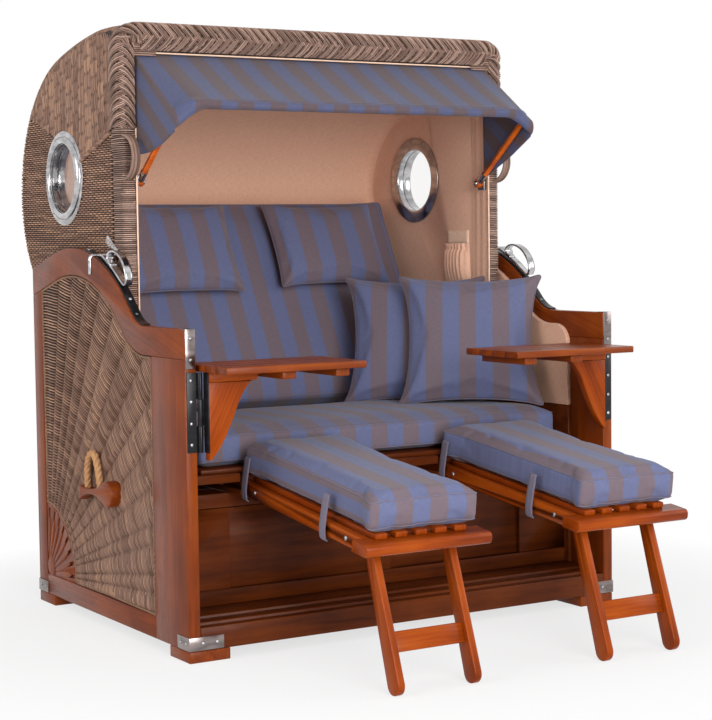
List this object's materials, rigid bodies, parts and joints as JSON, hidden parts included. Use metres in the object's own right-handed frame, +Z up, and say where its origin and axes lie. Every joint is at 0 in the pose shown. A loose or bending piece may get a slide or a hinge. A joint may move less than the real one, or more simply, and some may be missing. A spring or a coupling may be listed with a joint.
{
  "type": "hooded beach chair",
  "caption": "Wicker hooded beach chair with a tilting hood, awning, portholes, swing tables, striped cushions and pull-out footrests on folding legs.",
  "frame": {"origin": "on the floor under the middle of the whole chair's bounding box", "axes": "+Z up, +Y towards the back of the chair, +X to the right seen from the front"},
  "size_m": [1.442, 1.7966, 1.678],
  "materials": {
    "wood": "satin varnish",
    "wicker": "matt woven strands",
    "braid": "matt plaited strands",
    "striped_cloth": "matt woven stripes",
    "lining_cloth": "matt",
    "chrome": "polished",
    "steel": "brushed",
    "black_iron": "satin black",
    "rope": "twisted hemp",
    "pane": "clear"
  },
  "bodies": {
    "base": {"left_front_post": "wood", "right_front_post": "wood", "left_top_rail": "wood", "right_top_rail": "wood", "rear_posts": "wood", "bottom_rails": "wood", "sun_corners": "wood", "rope_cleats": "wood", "feet": "wood", "front_plinth": "wood", "lower_panelling": "wood", "seat_rails": "wood", "footrest_runners": "wood", "seat_board": "wood", "rear_panel": "wood", "left_wicker_panel": "wicker", "right_wicker_panel": "wicker", "seat_cushion": "striped_cloth", "front_pillow": "striped_cloth", "rear_pillow": "striped_cloth", "cheek_pads": "lining_cloth", "corner_irons": "chrome", "hood_pivots": "steel", "latch_strips": "black_iron", "post_hinges": "black_iron", "left_rope_loop": "rope", "right_rope_loop": "rope"},
    "hood": {"left_hood_side": "wicker", "right_hood_side": "wicker", "hood_roof": "wicker", "hood_lining": "lining_cloth", "hood_braid": "braid", "hood_bindings": "wicker", "hood_frame": "wood", "back_board": "wood", "back_cushion": "striped_cloth", "left_headrest": "striped_cloth", "right_headrest": "striped_cloth", "wall_pocket": "lining_cloth", "porthole_rings": "chrome", "porthole_panes": "pane", "grab_loops": "wicker", "latch_brackets": "chrome", "awning_brackets": "steel"},
    "awning": {"awning_bow": "wood", "awning_cloth": "striped_cloth"},
    "left_lever": {"left_latch_lever": "chrome"},
    "left_table": {"left_table_top": "wood", "left_table_gusset": "wood", "left_table_hinge": "black_iron"},
    "left_footrest": {"left_footrest_frame": "wood", "left_foot_cushion": "striped_cloth"},
    "left_legs": {"left_leg_frame": "wood"},
    "right_lever": {"right_latch_lever": "chrome"},
    "right_table": {"right_table_top": "wood", "right_table_gusset": "wood", "right_table_hinge": "black_iron"},
    "right_footrest": {"right_footrest_frame": "wood", "right_foot_cushion": "striped_cloth"},
    "right_legs": {"right_leg_frame": "wood"}
  },
  "joints": [
    {"name": "hood_tilt", "type": "hinge", "parent": "base", "child": "hood", "pos_m": [0, 0.40835, 0.52], "axis": [-1, 0, 0], "range_deg": [0, 40]},
    {"name": "awning_fold", "type": "hinge", "parent": "hood", "child": "awning", "pos_m": [0, 0.18835, 1.243], "axis": [-1, 0, 0], "range_deg": [0, 50], "deforming": ["awning_cloth"]},
    {"name": "left_lever_lift", "type": "hinge", "parent": "hood", "child": "left_lever", "pos_m": [-0.674, 0.21326, 1.04172], "axis": [-1, 0, 0], "range_deg": [0, 35]},
    {"name": "left_table_swing", "type": "hinge", "parent": "base", "child": "left_table", "pos_m": [-0.652, -0.32065, 0.644], "axis": [0, 0, -1], "range_deg": [0, 95]},
    {"name": "left_footrest_pull", "type": "slide", "parent": "base", "child": "left_footrest", "axis": [0, -1, 0], "range_m": [0, 0.12]},
    {"name": "left_legs_fold", "type": "hinge", "parent": "left_footrest", "child": "left_legs", "pos_m": [-0.3145, -0.7632, 0.35419], "axis": [1, 0, 0], "range_deg": [0, 95]},
    {"name": "right_lever_lift", "type": "hinge", "parent": "hood", "child": "right_lever", "pos_m": [0.674, 0.21326, 1.04172], "axis": [-1, 0, 0], "range_deg": [0, 35]},
    {"name": "right_table_swing", "type": "hinge", "parent": "base", "child": "right_table", "pos_m": [0.652, -0.32065, 0.644], "axis": [0, 0, 1], "range_deg": [0, 95]},
    {"name": "right_footrest_pull", "type": "slide", "parent": "base", "child": "right_footrest", "axis": [0, -1, 0], "range_m": [0, 0.12]},
    {"name": "right_legs_fold", "type": "hinge", "parent": "right_footrest", "child": "right_legs", "pos_m": [0.3145, -0.7632, 0.35419], "axis": [1, 0, 0], "range_deg": [0, 95]}
  ]
}
